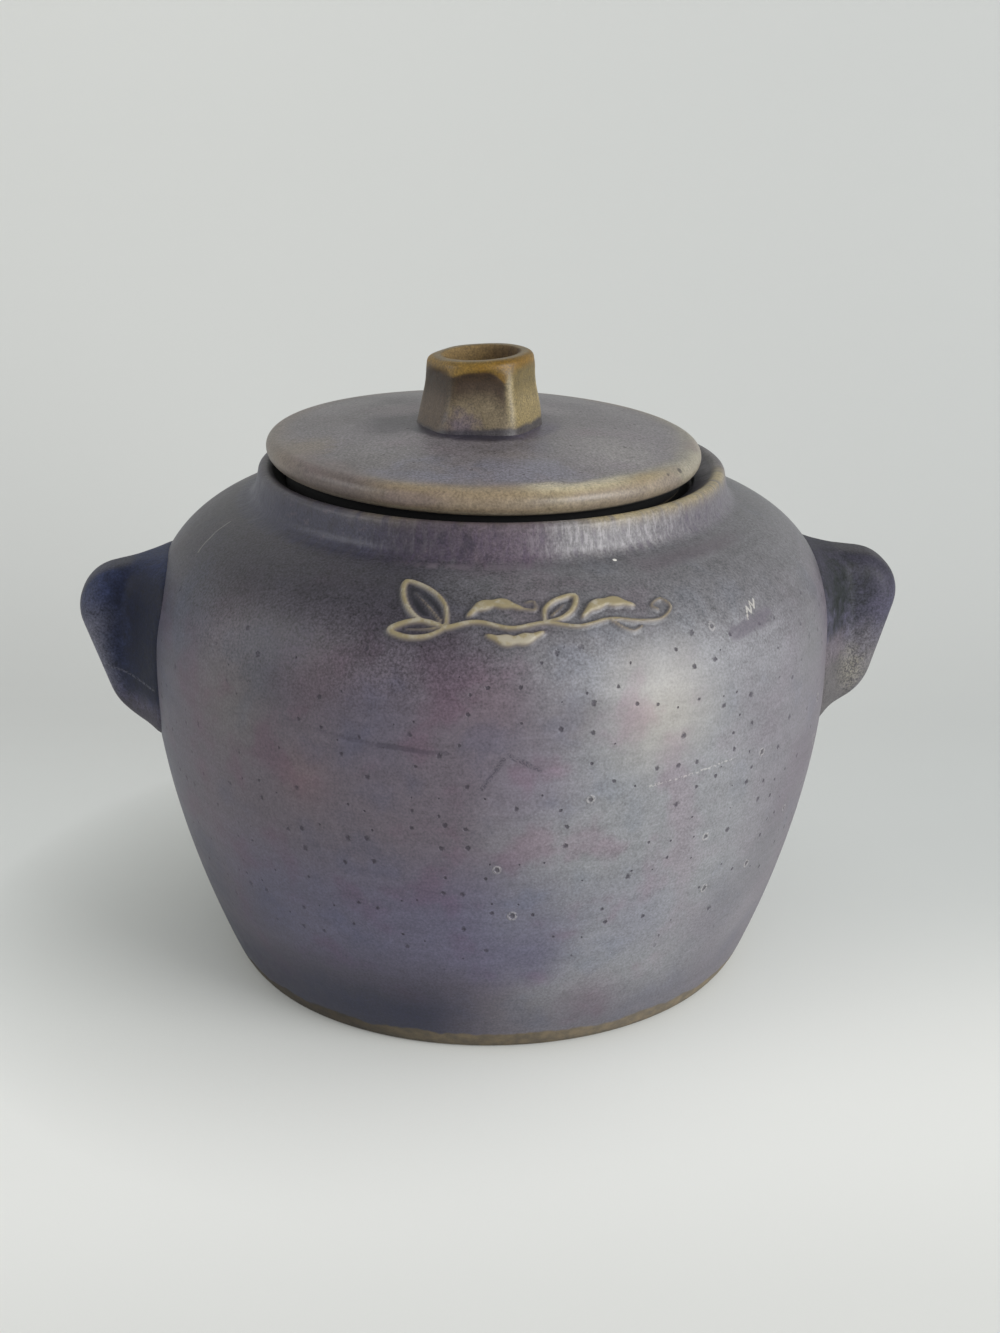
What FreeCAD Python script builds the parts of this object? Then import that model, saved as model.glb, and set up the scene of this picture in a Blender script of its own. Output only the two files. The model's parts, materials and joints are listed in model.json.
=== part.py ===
import FreeCAD
import Part
import math
import os

# A stoneware bean pot: a turned pot with two solid lug handles luted to its sides, and a
# loose lid that lies in a ledge inside the mouth and is lifted by a hollow six-sided knob.
# Millimetres. +Z is up, the origin is the centre of the foot on the table, the lugs lie
# along X and the front of the pot faces -Y.

vector = FreeCAD.Vector

# Pot, outside
foot_radius = 72.3  # outer edge of the ring the pot stands on
foot_ring_width = 12.0
foot_recess = 1.5  # turned hollow inside the foot ring
foot_bevel = 2.6  # height of the bevel that ends the glaze
foot_bevel_run = 2.0
foot_wall_angle = 60.0  # degrees from level, where the wall leaves the foot
belly_radius = 95.0
belly_height = 87.0
neck_radius = 68.4  # where the shoulder ends
neck_height = 132.5
shoulder_angle = 16.6  # degrees from level, where the shoulder ends

# How far each end of the two wall curves keeps its own direction
foot_pull = 6.6
belly_pull_down = 35.0
belly_pull_up = 15.3
shoulder_pull = 29.3

# Collar, lip and the seat of the lid
collar_height = 9.3  # lip above the end of the shoulder
collar_lean = 10.5  # degrees inwards
collar_root_run = 3.0  # shoulder's line carried on to the collar
collar_root_round = 4.0
lip_width = 2.4
lip_round = 1.5
lip_inner_round = 1.0
ledge_depth = 5.8  # ledge below the lip
riser_inset = 12.3  # upright step that keeps the lid on its ledge, in from the neck
riser_height = 2.0
seat_round = 1.0
ledge_width = 5.6
throat_round = 1.6

# Pot, inside
wall = 6.0
floor_thickness = 8.0
floor_round = 12.0

# Lid
lid_edge_radius = 3.8
lid_overlap = 3.6  # edge of the lid beyond the riser
lid_gap = 0.6  # lower face of the lid above the lip
lid_rise = 3.3  # centre of the top above its edge
lid_edge_slope = 5.5  # degrees, where the top meets the round edge
lid_top_pull = 20.0  # how far each end of the top's curve keeps its own direction
lid_plate = 6.6
lid_ring_width = 6.0
lid_ring_round = 1.3
lid_ring_root_round = 2.0
lid_overhang_round = 1.0  # between the ring and the lid's rim
lid_play = 1.6  # ring inside the riser, all round
lid_rest_gap = 0.3  # what is left of the play where the loose lid lies to the left

# Knob
knob_height = 19.8  # ring of the knob above the lid's centre
knob_sides = 6
knob_turn = -6.0  # degrees, one flat is turned a little to the left of the front
knob_ring_radius = 13.9
knob_ring_round = 2.0
knob_ring_wall = 3.7  # ring's outer edge to the bowl
knob_shoulder_angle = 14.0  # degrees from upright, from the ring down into the flats
knob_foot_spread = 3.1  # flats at the lid's edge level, out from the ring's radius
knob_foot_angle = 14.0  # degrees from upright, where the flats leave the lid
knob_foot_pull = 8.2
knob_arch_drop = 2.3  # where the flats run out under the ring
knob_arch_spread = 1.1  # out from the ring's radius
knob_arch_angle = 50.0  # degrees from level
knob_arch_pull = 5.3
knob_bowl_depth = 14.0
knob_bowl_taper = 1.8
knob_bowl_round = 4.0
knob_corner_round = 2.0

# Lug handles
lug_corner_drop = 20.0  # upper outer corner below the end of the shoulder
lug_toe_drop = 15.8  # lower outer corner below the belly's widest line
left_lug_reach = 22.6  # upper outer corner beyond the belly
right_lug_reach = 25.1
left_lug_fall = 12.0  # degrees, slope of the upper edge down to its corner
right_lug_fall = 7.5
left_lug_lean = 18.6  # degrees, outer edge leaning in towards the foot
right_lug_lean = 16.8
left_lug_toe_angle = 7.5  # degrees, slope of the lower edge
right_lug_toe_angle = 14.0
lug_corner_round = 12.0
lug_toe_round = 15.2
lug_thickness = 19.0
lug_edge_round = 7.0
lug_root_round = 10.0  # hollow where the lug meets the pot
lug_root_sink = 1.2  # how far the hollow's far edge would lie under the wall

full_turn = 360.0
near = 1e-3  # edges are picked out by their place to within this


def heading(degrees):
    """Unit step in the section plane: x is the radius, z the height."""
    angle = math.radians(degrees)
    return vector(math.cos(angle), 0, math.sin(angle))


def bezier(*poles):
    curve = Part.BezierCurve()
    curve.setPoles(list(poles))
    return curve.toShape()


def line(start, end):
    return Part.LineSegment(start, end).toShape()


def rounded_path(corners):
    """Edges through (point, radius) corners, with a tangent arc at each inner one."""
    edges = []
    last = corners[0][0]
    for index in range(1, len(corners) - 1):
        point, radius = corners[index]
        back = (corners[index - 1][0] - point).normalize()
        ahead = (corners[index + 1][0] - point).normalize()
        half = back.getAngle(ahead) / 2
        start = point + back * (radius / math.tan(half))
        end = point + ahead * (radius / math.tan(half))
        middle = point + (back + ahead).normalize() * (radius / math.sin(half) - radius)
        if (start - last).Length > near:
            edges.append(line(last, start))
        edges.append(Part.Arc(start, middle, end).toShape())
        last = end
    edges.append(line(last, corners[-1][0]))
    return edges


def turned(edges):
    """Solid of revolution of a closed section in the XZ plane."""
    face = Part.Face(Part.Wire(edges))
    return face.revolve(vector(0, 0, 0), vector(0, 0, 1), full_turn)


# ---- pot wall ----

foot_edge = vector(foot_radius + foot_bevel_run, 0, foot_bevel)
belly_edge = vector(belly_radius, 0, belly_height)
neck_edge = vector(neck_radius, 0, neck_height)
lip_height = neck_height + collar_height
ledge_height = lip_height - ledge_depth
riser_radius = neck_radius - riser_inset
throat_radius = riser_radius - ledge_width


def wall_curves(inset):
    """Lower and upper wall curve, set in from the outside by inset."""
    foot_out = heading(foot_wall_angle - 90) * inset
    belly_out = vector(inset, 0, 0)
    neck_out = heading(90 - shoulder_angle) * inset
    foot_start = foot_edge - foot_out
    belly = belly_edge - belly_out
    neck = neck_edge - neck_out
    lower = bezier(
        foot_start,
        foot_start + heading(foot_wall_angle) * foot_pull,
        belly - vector(0, 0, belly_pull_down),
        belly,
    )
    upper = bezier(
        belly,
        belly + vector(0, 0, belly_pull_up),
        neck + heading(-shoulder_angle) * shoulder_pull,
        neck,
    )
    return lower, upper, foot_start, neck


def collar_corners():
    """From the end of the shoulder over the lip and down to the ledge and the throat."""
    root = neck_edge + heading(180 - shoulder_angle) * collar_root_run
    lip_out = vector(
        root.x - (lip_height - root.z) * math.tan(math.radians(collar_lean)), 0, lip_height
    )
    return [
        (neck_edge, 0),
        (root, collar_root_round),
        (lip_out, lip_round),
        (lip_out - vector(lip_width, 0, 0), lip_inner_round),
        (vector(riser_radius, 0, ledge_height + riser_height), seat_round),
        (vector(riser_radius, 0, ledge_height), seat_round),
        (vector(throat_radius, 0, ledge_height), throat_round),
    ]


def pot_outside(inset):
    """The wall's outer form as a filled body, for joining and trimming the lugs."""
    lower, upper, foot_start, neck = wall_curves(inset)
    ends = [neck, vector(0, 0, neck.z), vector(0, 0, foot_start.z), foot_start]
    body = turned([line(a, b) for a, b in zip(ends, ends[1:])] + [lower, upper])
    # The seam is turned away from the lugs
    body.rotate(vector(0, 0, 0), vector(0, 0, 1), full_turn / 4)
    return body


def pot_cavity():
    lower, upper, foot_start, neck = wall_curves(wall)
    # The ceiling runs on in line with the shoulder to the throat
    run = neck.x - throat_radius
    throat_low = neck + vector(-run, 0, run * math.tan(math.radians(shoulder_angle)))
    above = vector(throat_radius, 0, lip_height)
    path = rounded_path([(neck, 0), (throat_low, throat_round), (above, 0)])
    axis_top = vector(0, 0, lip_height)
    axis_low = vector(0, 0, foot_start.z)
    ends = [line(above, axis_top), line(axis_top, axis_low), line(axis_low, foot_start)]
    hollow = turned([lower, upper] + path + ends)
    above_floor = Part.makeCylinder(
        2 * belly_radius, 2 * lip_height, vector(0, 0, floor_thickness)
    )
    hollow = hollow.common(above_floor)
    corner = [
        edge
        for edge in hollow.Edges
        if edge.BoundBox.ZMax < floor_thickness + near and edge.Length > belly_radius
    ]
    return hollow.makeFillet(floor_round, corner)


def pot_body():
    lower, upper, foot_start, neck = wall_curves(0)
    ring_inner = foot_radius - foot_ring_width
    foot = [
        vector(0, 0, foot_recess),
        vector(ring_inner - foot_recess, 0, foot_recess),
        vector(ring_inner, 0, 0),
        vector(foot_radius, 0, 0),
        foot_start,
    ]
    mouth = collar_corners()
    ledge_middle = vector(0, 0, ledge_height)
    close = [line(mouth[-1][0], ledge_middle), line(ledge_middle, foot[0])]
    outline = [line(a, b) for a, b in zip(foot, foot[1:])] + [lower, upper]
    body = turned(outline + rounded_path(mouth) + close).cut(pot_cavity())
    throat = [
        edge
        for edge in body.Edges
        if edge.BoundBox.ZMin > ledge_height - near
        and edge.BoundBox.ZMax < ledge_height + near
        and edge.BoundBox.XMax < throat_radius + near
    ]
    return body.makeFillet(throat_round, throat)


# ---- lid ----

lid_radius = riser_radius + lid_overlap
ring_radius = riser_radius - lid_play
lid_low = lip_height + lid_gap
lid_offset = vector(lid_rest_gap - lid_play, 0, 0)
lid_top = lid_low + 2 * lid_edge_radius + lid_rise


def lid_disc():
    """Flat dished disc with a round edge, and below it the ring that lies on the ledge."""
    centre = vector(lid_radius - lid_edge_radius, 0, lid_low + lid_edge_radius)
    edge_low = centre + heading(-90) * lid_edge_radius
    edge_out = centre + heading(0) * lid_edge_radius
    edge_high = centre + heading(90 - lid_edge_slope) * lid_edge_radius
    crown = vector(0, 0, lid_top)
    hollow_middle = vector(0, 0, lid_top - lid_plate)
    ring_inner = ring_radius - lid_ring_width
    under = rounded_path(
        [
            (hollow_middle, 0),
            (vector(ring_inner, 0, hollow_middle.z), lid_ring_root_round),
            (vector(ring_inner, 0, ledge_height), lid_ring_round),
            (vector(ring_radius, 0, ledge_height), lid_ring_round),
            (vector(ring_radius, 0, lid_low), lid_overhang_round),
            (edge_low, 0),
        ]
    )
    edge = Part.Arc(edge_low, edge_out, edge_high).toShape()
    edge_pull = edge_high + heading(180 - lid_edge_slope) * lid_top_pull
    top = bezier(edge_high, edge_pull, crown + vector(lid_top_pull, 0, 0), crown)
    lid = turned(under + [edge, top, line(crown, hollow_middle)])
    lid.translate(lid_offset)
    return lid


def knob_flat(base, ring_top):
    """Side view of what is pressed away at one flat: hollow, and run out under the ring."""
    foot = vector(knob_ring_radius + knob_foot_spread, 0, base)
    arch = vector(knob_ring_radius + knob_arch_spread, 0, ring_top - knob_arch_drop)
    flat = bezier(
        foot,
        foot + heading(90 + knob_foot_angle) * knob_foot_pull,
        arch - heading(knob_arch_angle) * knob_arch_pull,
        arch,
    )
    outside = 3 * knob_ring_radius
    arch_out = vector(outside, 0, arch.z)
    foot_out = vector(outside, 0, base)
    return Part.Wire([flat, line(arch, arch_out), line(arch_out, foot_out), line(foot_out, foot)])


def lid_knob(disc):
    """Round at the ring, six hollow flats below it, and a bowl turned into the top."""
    ring_top = lid_top + knob_height
    base = lid_top - lid_rise
    crown = vector(0, 0, ring_top)
    ring_edge = vector(knob_ring_radius, 0, ring_top)
    spread = (ring_top - base) * math.tan(math.radians(knob_shoulder_angle))
    foot_out = vector(knob_ring_radius + spread, 0, base)
    foot_middle = vector(0, 0, base)
    outline = rounded_path([(crown, 0), (ring_edge, knob_ring_round), (foot_out, 0)])
    outline += [line(foot_out, foot_middle), line(foot_middle, crown)]
    knob = turned(outline)
    for side in range(knob_sides):
        face = Part.Face(knob_flat(base, ring_top))
        face.translate(vector(0, -3 * knob_ring_radius, 0))
        cutter = face.extrude(vector(0, 6 * knob_ring_radius, 0))
        angle = side * full_turn / knob_sides + knob_turn - 90
        cutter.rotate(vector(0, 0, 0), vector(0, 0, 1), angle)
        knob = knob.cut(cutter)
    ridges = [
        edge
        for edge in knob.Edges
        if edge.BoundBox.ZLength > knob_ring_round and edge.BoundBox.YLength > near
    ]
    knob = knob.makeFillet(knob_corner_round, ridges)
    bowl_radius = knob_ring_radius - knob_ring_wall
    bowl_low = ring_top - knob_bowl_depth
    bowl_edge = vector(bowl_radius, 0, ring_top)
    bowl = rounded_path(
        [
            (vector(0, 0, bowl_low), 0),
            (vector(bowl_radius - knob_bowl_taper, 0, bowl_low), knob_bowl_round),
            (bowl_edge, 0),
        ]
    )
    axis_ends = [bowl_edge, vector(0, 0, ring_top), vector(0, 0, bowl_low)]
    bowl += [line(a, b) for a, b in zip(axis_ends, axis_ends[1:])]
    knob = knob.cut(turned(bowl))
    knob.translate(lid_offset)
    return knob.cut(disc)


# ---- lug handles ----


def lug_outline(reach, fall, lean, toe_angle):
    """Side view of the lug on the +X side, run on into the wall under the neck."""
    corner = vector(belly_radius + reach, 0, neck_height - lug_corner_drop)
    drop = corner.z - (belly_height - lug_toe_drop)
    toe = corner - vector(drop * math.tan(math.radians(lean)), 0, drop)
    top_run = corner.x - neck_radius
    low_run = toe.x - neck_radius
    top_root = corner + vector(-top_run, 0, top_run * math.tan(math.radians(fall)))
    low_root = toe - vector(low_run, 0, low_run * math.tan(math.radians(toe_angle)))
    path = [(top_root, 0), (corner, lug_corner_round), (toe, lug_toe_round), (low_root, 0)]
    return rounded_path(path) + [line(low_root, top_root)]


def lug_handle(reach, fall, lean, toe_angle):
    face = Part.Face(Part.Wire(lug_outline(reach, fall, lean, toe_angle)))
    face.translate(vector(0, -lug_thickness / 2, 0))
    slab = face.extrude(vector(0, lug_thickness, 0))
    rims = [
        edge
        for edge in slab.Edges
        if edge.BoundBox.YLength < near and edge.BoundBox.XLength > near
    ]
    slab = slab.makeFillet(lug_edge_round, rims)
    # The hollow at the root is drawn on a slightly smaller pot, so that it meets the real
    # wall at an angle and the lug keeps some thickness at its edge.
    joined = pot_outside(lug_root_sink).fuse(slab)
    roots = [
        edge
        for edge in joined.Edges
        if edge.BoundBox.XMin > 0 and edge.BoundBox.XMax < belly_radius
    ]
    return joined.makeFillet(lug_root_round, roots).cut(pot_outside(0))


os.makedirs("parts", exist_ok=True)
disc = lid_disc()
left_lug = lug_handle(left_lug_reach, left_lug_fall, left_lug_lean, left_lug_toe_angle)
right_lug = lug_handle(right_lug_reach, right_lug_fall, right_lug_lean, right_lug_toe_angle)
parts = {
    "pot_body": pot_body(),
    "left_lug_handle": left_lug.mirror(vector(0, 0, 0), vector(1, 0, 0)),
    "right_lug_handle": right_lug,
    "lid_disc": disc,
    "lid_knob": lid_knob(disc),
}
for name, shape in parts.items():
    print(name, shape.isValid(), len(shape.Solids), round(shape.Volume), shape.BoundBox)
    shape.exportStep("parts/" + name + ".step")
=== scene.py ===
import bpy
import bmesh
import json
import math
import numpy as np
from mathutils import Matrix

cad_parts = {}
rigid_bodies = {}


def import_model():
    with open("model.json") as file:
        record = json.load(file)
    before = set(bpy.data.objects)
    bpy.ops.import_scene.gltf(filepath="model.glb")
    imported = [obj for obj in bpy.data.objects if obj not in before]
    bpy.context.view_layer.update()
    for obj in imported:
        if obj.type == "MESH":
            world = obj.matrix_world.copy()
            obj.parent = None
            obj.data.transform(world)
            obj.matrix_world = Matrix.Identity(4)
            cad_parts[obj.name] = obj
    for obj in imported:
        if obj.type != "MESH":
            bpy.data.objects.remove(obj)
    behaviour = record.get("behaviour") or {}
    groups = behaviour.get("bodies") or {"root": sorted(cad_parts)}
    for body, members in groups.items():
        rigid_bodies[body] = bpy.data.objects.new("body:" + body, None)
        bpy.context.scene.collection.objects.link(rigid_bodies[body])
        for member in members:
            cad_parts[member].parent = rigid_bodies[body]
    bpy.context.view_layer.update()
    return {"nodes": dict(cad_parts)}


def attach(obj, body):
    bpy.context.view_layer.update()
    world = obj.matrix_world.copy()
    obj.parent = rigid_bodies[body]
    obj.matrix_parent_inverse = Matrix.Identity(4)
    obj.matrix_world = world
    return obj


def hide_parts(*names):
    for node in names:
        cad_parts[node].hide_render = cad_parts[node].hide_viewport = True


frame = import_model()
mm = 0.001  # the dictionaries below are in millimetres and degrees
print("frame loaded:", sorted(frame["nodes"]))


# Section curves, as arrays of (radius, height)


def polar(degrees):
    angle = math.radians(degrees)
    return np.array([math.cos(angle), math.sin(angle)])


def tangent(degrees):
    return math.tan(math.radians(degrees))


def bezier(poles, count):
    a, b, c, d = [np.array(pole, float) for pole in poles]
    t = np.linspace(0, 1, count)[:, None]
    return a * (1 - t) ** 3 + 3 * b * t * (1 - t) ** 2 + 3 * c * t * t * (1 - t) + d * t ** 3


def respaced(points, gap):
    points = np.array(points, float)
    steps = np.linalg.norm(np.diff(points, axis=0), axis=1)
    along = np.concatenate([[0], np.cumsum(steps)])
    wanted = np.linspace(0, along[-1], max(2, int(math.ceil(along[-1] / gap)) + 1))
    return np.stack([np.interp(wanted, along, points[:, k]) for k in range(points.shape[1])], 1)


def roundedPath(corners, gap):
    # each corner between the ends is (radius, height, rounding)
    pieces = [np.array([corners[0][:2]], float)]
    for before, here, after in zip(corners, corners[1:], corners[2:]):
        point = np.array(here[:2], float)
        back = np.array(before[:2]) - point
        ahead = np.array(after[:2]) - point
        back = back / np.linalg.norm(back)
        ahead = ahead / np.linalg.norm(ahead)
        half = math.acos(float(np.clip(back @ ahead, -1, 1))) / 2
        reach = here[2] / math.tan(half)
        middle = (back + ahead) / np.linalg.norm(back + ahead)
        centre = point + middle * here[2] / math.sin(half)
        first = point + back * reach - centre
        last = point + ahead * reach - centre
        turn = np.linspace(0, 1, 12)[:, None]
        sweep = first * (1 - turn) + last * turn
        sweep = sweep / np.linalg.norm(sweep, axis=1)[:, None] * here[2]
        pieces.append(centre + sweep)
    pieces.append(np.array([corners[-1][:2]], float))
    return respaced(np.concatenate(pieces), gap)


def joined(*runs):
    kept = [np.array(runs[0], float)]
    for run in runs[1:]:
        run = np.array(run, float)
        start = 1 if np.linalg.norm(run[0] - kept[-1][-1]) < 1e-4 else 0
        kept.append(run[start:])
    return np.concatenate(kept)


# Points in space


def smoothStep(value, low, high):
    t = np.clip((value - low) / (high - low), 0, 1)
    return t * t * (3 - 2 * t)


def away(points):
    return np.hypot(points[..., 0], points[..., 1])


def turned(radius, turn, height):
    # turn 0 is the front of the pot, and it grows towards +X
    radius, turn, height = np.broadcast_arrays(radius, turn, height)
    return np.stack([radius * np.sin(turn), -radius * np.cos(turn), height], 2)


def turnedGrid(section, angles):
    return turned(section[:, :1], angles, section[:, 1:])


def pushed(points, by):
    # out from the upright axis, or in where by is below 0
    out = points.copy()
    out[..., :2] *= (1 + by / np.maximum(away(points), 1))[..., None]
    return out


def placed(name, data):
    piece = bpy.data.objects.new(name, data)
    bpy.context.scene.collection.objects.link(piece)
    return piece


def reshaped(mesh, work):
    shaped = bmesh.new()
    shaped.from_mesh(mesh)
    work(shaped)
    shaped.to_mesh(mesh)
    shaped.free()


def gridPiece(name, points, marks=None):
    # points is (rows, columns, 3) in millimetres; columns close on themselves, and the first
    # and last row are each drawn together into one point
    rows, columns, _ = points.shape
    inner = points[1:-1].reshape(-1, 3)
    places = np.concatenate([points[0].mean(0)[None], inner, points[-1].mean(0)[None]]) * mm
    faces = []
    for row in range(rows - 3):
        for column in range(columns):
            beside = (column + 1) % columns
            low = 1 + row * columns
            high = low + columns
            faces.append((low + column, low + beside, high + beside, high + column))
    last = len(places) - 1
    top = 1 + (rows - 3) * columns
    for column in range(columns):
        beside = (column + 1) % columns
        faces.append((0, 1 + beside, 1 + column))
        faces.append((last, top + column, top + beside))
    mesh = bpy.data.meshes.new(name)
    mesh.from_pydata(places.tolist(), [], faces)
    for mark, values in (marks or {}).items():
        inside = values[1:-1].reshape(-1)
        whole = np.concatenate([[values[0].mean()], inside, [values[-1].mean()]])
        layer = mesh.attributes.new(mark, "FLOAT", "POINT")
        layer.data.foreach_set("value", whole.astype(np.float32))
    reshaped(mesh, lambda shaped: bmesh.ops.recalc_face_normals(shaped, faces=shaped.faces))
    mesh.shade_smooth()
    return placed(name, mesh)


# Materials


class Value:
    # a socket of a material, with sums written as plain arithmetic
    def __init__(self, finish, socket):
        self.finish = finish
        self.socket = socket

    def math(self, operation, first, second):
        return self.finish.node("ShaderNodeMath", {"operation": operation}, {0: first, 1: second})

    def __add__(self, other):
        return self.math("ADD", self, other)

    def __radd__(self, other):
        return self.math("ADD", other, self)

    def __sub__(self, other):
        return self.math("SUBTRACT", self, other)

    def __rsub__(self, other):
        return self.math("SUBTRACT", other, self)

    def __mul__(self, other):
        return self.math("MULTIPLY", self, other)

    def __truediv__(self, other):
        return self.math("DIVIDE", self, other)

    def __pow__(self, other):
        return self.math("POWER", self, other)

    def most(self, other):
        return self.math("MAXIMUM", self, other)

    def least(self, other):
        return self.math("MINIMUM", self, other)

    def size(self):
        return self.finish.node("ShaderNodeMath", {"operation": "ABSOLUTE"}, {0: self})

    def step(self, low, high):
        # 0 at low, 1 at high
        limits = {"Value": self, "From Min": low, "From Max": high}
        return self.finish.node("ShaderNodeMapRange", {"interpolation_type": "SMOOTHSTEP"}, limits)

    def window(self, rising, risen, falling, fallen):
        return self.step(rising, risen) * self.step(fallen, falling)

    def near(self, centre, far, close):
        # 1 at the centre, 0 from far on
        return (self - centre).size().step(far, close)

    def sway(self, by):
        # a cloud as a number round 0
        return (self - 0.5) * by

    def torn(self, cloud, by):
        # moved to and fro by a cloud, so that its steps are ragged
        return self + cloud.sway(by)


def tint(red, green, blue):
    # a colour as it is seen on screen, out of 255
    seen = [part / 255 for part in (red, green, blue)]
    plain = [part / 12.92 if part < 0.04045 else ((part + 0.055) / 1.055) ** 2.4 for part in seen]
    return (*plain, 1.0)


class Finish:
    def __init__(self, name, tones):
        self.tones = tones
        self.material = bpy.data.materials.new(name)
        self.material.use_nodes = True
        self.tree = self.material.node_tree
        self.tree.nodes.clear()
        place = self.node("ShaderNodeTexCoord", {}, {}, "Object")
        self.spot = self.node("ShaderNodeVectorMath", {"operation": "SCALE"}, {0: place, "Scale": 1 / mm})
        self.x, self.y, self.z = [self.part(self.spot, axis) for axis in "XYZ"]

    def node(self, kind, settings, sockets, result=0):
        made = self.tree.nodes.new(kind)
        for name, setting in settings.items():
            setattr(made, name, setting)
        for key, given in sockets.items():
            if isinstance(given, Value):
                self.tree.links.new(given.socket, made.inputs[key])
            else:
                made.inputs[key].default_value = given
        return Value(self, made.outputs[result])

    def part(self, vector, axis):
        return self.node("ShaderNodeSeparateXYZ", {}, {0: vector}, axis)

    def mark(self, name):
        return self.node("ShaderNodeAttribute", {"attribute_name": name}, {}, "Fac")

    def cloud(self, size, detail=3.0, rough=0.5, at=None, bend=0.0):
        sockets = {"Vector": at or self.spot, "Scale": 1 / size, "Detail": detail}
        sockets.update({"Roughness": rough, "Distortion": bend})
        return self.node("ShaderNodeTexNoise", {}, sockets, "Fac")

    def vector(self, x, y, z):
        return self.node("ShaderNodeCombineXYZ", {}, {0: x, 1: y, 2: z})

    def moved(self, x, y, z):
        return self.node("ShaderNodeVectorMath", {"operation": "ADD"}, {0: self.spot, 1: (x, y, z)})

    def mix(self, share, first, second, blend="MIX"):
        settings = {"data_type": "RGBA", "blend_type": blend}
        return self.node("ShaderNodeMix", settings, {0: share, 6: first, 7: second}, 2)

    def tone(self, colour):
        # a colour by its name, as seen on screen, or one that is ready
        if isinstance(colour, str):
            colour = self.tones[colour]
        return tint(*colour) if isinstance(colour, tuple) and len(colour) == 3 else colour

    def layers(self, colour, *coats):
        # each coat is a tone and the share of it that shows
        for tone, share in coats:
            colour = self.mix(share, self.tone(colour), self.tone(tone))
        return colour

    def shade(self, colour, level, share=1.0):
        # level 1 leaves the colour as it is
        return self.mix(share, self.tone(colour), level, "MULTIPLY")

    def turn(self, x=0.0):
        # degrees round an upright axis: 0 at the front, growing towards +X
        sockets = {0: self.x - x, 1: self.y * -1.0}
        return self.node("ShaderNodeMath", {"operation": "ARCTAN2"}, sockets) * (180 / math.pi)

    def radius(self, x=0.0):
        return ((self.x - x) ** 2.0 + self.y ** 2.0) ** 0.5

    def patch(self, place, reach, soft, cloud=None, ragged=0.6):
        # 1 round a place, fading outwards over soft; a cloud breaks its edge up
        sockets = {0: self.spot, 1: place}
        far = self.node("ShaderNodeVectorMath", {"operation": "DISTANCE"}, sockets, "Value")
        if cloud:
            far = far.torn(cloud, 2 * ragged * reach)
        return far.step(reach, reach - soft)

    def line(self, u, v, start, end, width):
        # 1 along a straight line between two points of an unrolled wall
        run, rise = end[0] - start[0], end[1] - start[1]
        length = run * run + rise * rise
        along = ((u - start[0]) * (run / length) + (v - start[1]) * (rise / length)).most(0.0).least(1.0)
        across = u - start[0] - along * run
        up = v - start[1] - along * rise
        return ((across * across + up * up) ** 0.5).step(width, width * 0.3)

    def drawn(self, u, v, lines):
        # lines are start, end, width and strength, and a cloud with two levels where it breaks them up
        most = None
        for start, end, width, strength, *broken in lines:
            mark = self.line(u, v, start, end, width) * strength
            if broken:
                mark = mark * broken[0].step(*broken[1:])
            most = most.most(mark) if most else mark
        return most

    def pits(self, wall, gap, share, small, large):
        # round marks in some cells of an unrolled wall: distance over radius, and which cells have one
        sockets = {"Vector": wall, "Scale": 1 / gap}
        flat = {"voronoi_dimensions": "2D"}
        far = self.node("ShaderNodeTexVoronoi", flat, sockets, "Distance") * gap
        lot = self.node("ShaderNodeTexVoronoi", flat, sockets, "Color")
        size = self.node("ShaderNodeSeparateColor", {}, {"Color": lot}, "Green")
        chosen = self.node("ShaderNodeSeparateColor", {}, {"Color": lot}, "Red")
        return far / (size * (large - small) + small), chosen.step(1 - share, 1.001 - share)

    def surface(self, sockets):
        return self.node("ShaderNodeBsdfPrincipled", {}, sockets)

    def glazed(self, colour, rough, height, specular):
        # height is in millimetres
        bump = self.node("ShaderNodeBump", {}, {"Height": height, "Strength": 1.0, "Distance": mm})
        sockets = {"Base Color": colour, "Roughness": rough, "Normal": bump, "Specular IOR Level": specular}
        return self.close(self.surface(sockets))

    def close(self, shader):
        end = self.tree.nodes.new("ShaderNodeOutputMaterial")
        self.tree.links.new(shader.socket, end.inputs["Surface"])
        return self.material


def onAxis(degrees, radius, height):
    angle = math.radians(degrees)
    return radius * math.sin(angle), -radius * math.cos(angle), height


# Glaze of the pot, of its lugs, of the lid and of the knob; bare clay where none was laid

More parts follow.
